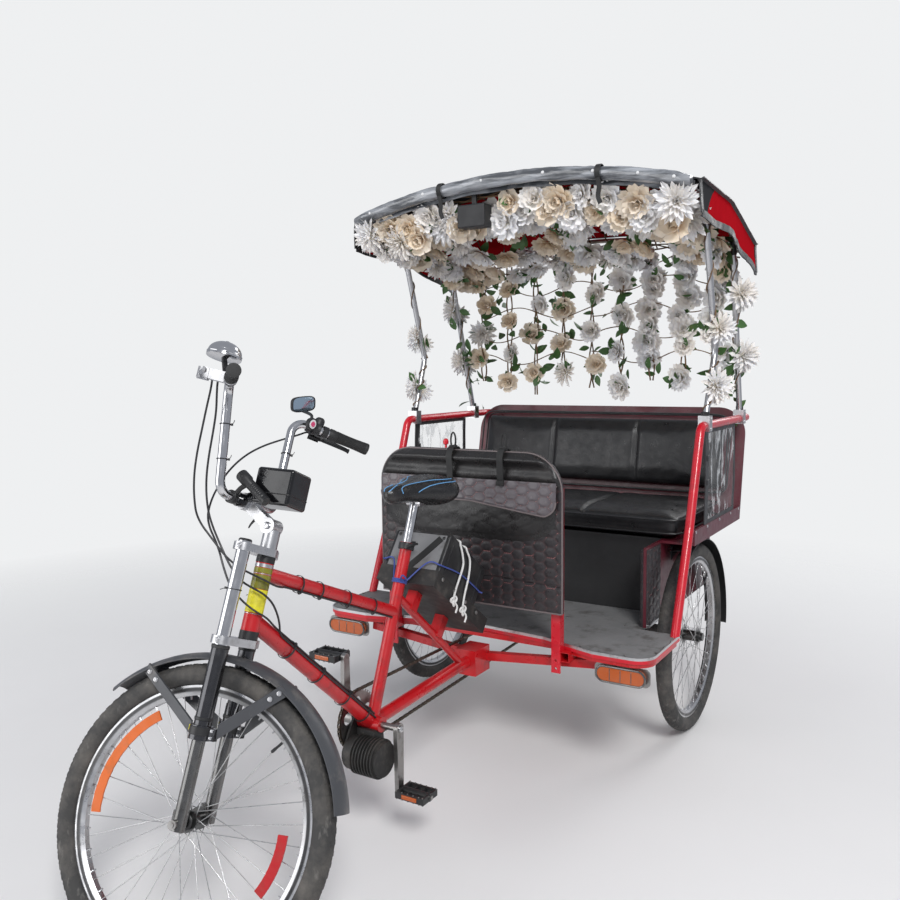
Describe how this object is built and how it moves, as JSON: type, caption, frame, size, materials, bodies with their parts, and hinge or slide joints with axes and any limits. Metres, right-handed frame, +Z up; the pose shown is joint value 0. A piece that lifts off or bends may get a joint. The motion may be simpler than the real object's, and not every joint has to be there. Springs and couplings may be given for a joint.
{
  "type": "cycle rickshaw",
  "caption": "Cycle rickshaw with a steered front wheel, pedal drive and battery, and a hooded padded passenger bench over its rear axle.",
  "frame": {"origin": "middle of the bounding box at ground level", "axes": "+X the vehicle's left, +Y to the rear, +Z up"},
  "size_m": [1.336, 2.5452, 1.973],
  "materials": {
    "tyre_rubber": "worn",
    "rim_alloy": "satin",
    "fork_black": "satin",
    "chrome": "polished",
    "fork_grey": "worn",
    "steel": "satin",
    "guard_grey": "matte",
    "rubber_black": "matte",
    "silver_alloy": "satin",
    "plastic_black": "matte",
    "gloss_black": "glossy",
    "frame_red": "worn",
    "saddle_black": "worn",
    "chain_steel": "dirty",
    "battery_grey": "satin",
    "axle_black": "matte",
    "floor_grey": "worn",
    "vinyl_black": "satin",
    "body_maroon": "satin",
    "hood_red": "matte",
    "clear_vinyl": "glossy",
    "lamp_amber": "glossy",
    "leaf_green": "matte",
    "vine_brown": "matte",
    "blossom_white": "matte"
  },
  "bodies": {
    "vehicle": {"main_frame": "frame_red", "headset": "steel", "seat_post": "chrome", "saddle": "saddle_black", "motor": "plastic_black", "drive_chain": "chain_steel", "battery_case": "battery_grey", "battery_tray": "plastic_black", "cab_frame": "frame_red", "panel_posts": "frame_red", "axle_housing": "axle_black", "floor_board": "floor_grey", "floor_edging": "silver_alloy", "front_panel": "vinyl_black", "panel_pouch": "vinyl_black", "body_shell": "body_maroon", "seat_base": "vinyl_black", "seat_cushion": "vinyl_black", "seat_backrest": "vinyl_black", "side_linings": "vinyl_black", "side_rails": "frame_red", "rear_mudguards": "plastic_black", "canopy_bows": "silver_alloy", "canopy_poles": "silver_alloy", "canopy_roof": "hood_red", "curtain_roll": "clear_vinyl", "roof_lamp": "plastic_black", "marker_lamps": "lamp_amber", "marker_brackets": "steel", "side_curtains": "clear_vinyl", "hood_garlands": "leaf_green", "rear_strands": "vine_brown", "pole_blossoms": "blossom_white", "control_cables": "plastic_black", "frame_cables": "plastic_black"},
    "steering": {"fork_crowns": "fork_black", "fork_upper_legs": "chrome", "fork_sleeves": "fork_black", "fork_lower_legs": "fork_grey", "front_axle": "steel", "front_mudguard": "guard_grey", "handlebar": "chrome", "grips": "rubber_black", "stem": "silver_alloy", "bell": "chrome", "brake_levers": "silver_alloy", "gear_changer": "plastic_black", "mirror": "plastic_black", "bar_box": "gloss_black", "torch": "plastic_black"},
    "front_wheel_body": {"front_tyre": "tyre_rubber", "front_wheel": "rim_alloy"},
    "rear_left_wheel_body": {"rear_left_tyre": "tyre_rubber", "rear_left_wheel": "rim_alloy"},
    "rear_right_wheel_body": {"rear_right_tyre": "tyre_rubber", "rear_right_wheel": "rim_alloy"},
    "crank": {"crankset": "steel"},
    "left_pedal_body": {"left_pedal": "steel"},
    "right_pedal_body": {"right_pedal": "steel"}
  },
  "joints": [
    {"name": "steering", "type": "hinge", "parent": "vehicle", "child": "steering", "pos_m": [0, -1.10006, 0.31294], "axis": [0, 0.3584, 0.9336], "range_deg": [-4.5, 151.5], "deforming": ["control_cables"]},
    {"name": "front_wheel_spin", "type": "hinge", "parent": "steering", "child": "front_wheel_body", "pos_m": [-0.03116, -1.10868, 0.31625], "axis": [0.284, -0.8951, 0.3436], "continuous": true},
    {"name": "rear_left_spin", "type": "hinge", "parent": "vehicle", "child": "rear_left_wheel_body", "pos_m": [0.545, 0.69959, 0.335], "axis": [1, 0, 0], "continuous": true},
    {"name": "rear_right_spin", "type": "hinge", "parent": "vehicle", "child": "rear_right_wheel_body", "pos_m": [-0.545, 0.69959, 0.335], "axis": [1, 0, 0], "continuous": true},
    {"name": "crank_spin", "type": "hinge", "parent": "vehicle", "child": "crank", "pos_m": [0, -0.4924, 0.324], "axis": [1, 0, 0], "continuous": true},
    {"name": "left_pedal_spin", "type": "hinge", "parent": "crank", "child": "left_pedal_body", "pos_m": [0.146, -0.4924, 0.154], "axis": [1, 0, 0], "continuous": true},
    {"name": "right_pedal_spin", "type": "hinge", "parent": "crank", "child": "right_pedal_body", "pos_m": [-0.146, -0.4924, 0.494], "axis": [1, 0, 0], "continuous": true}
  ]
}
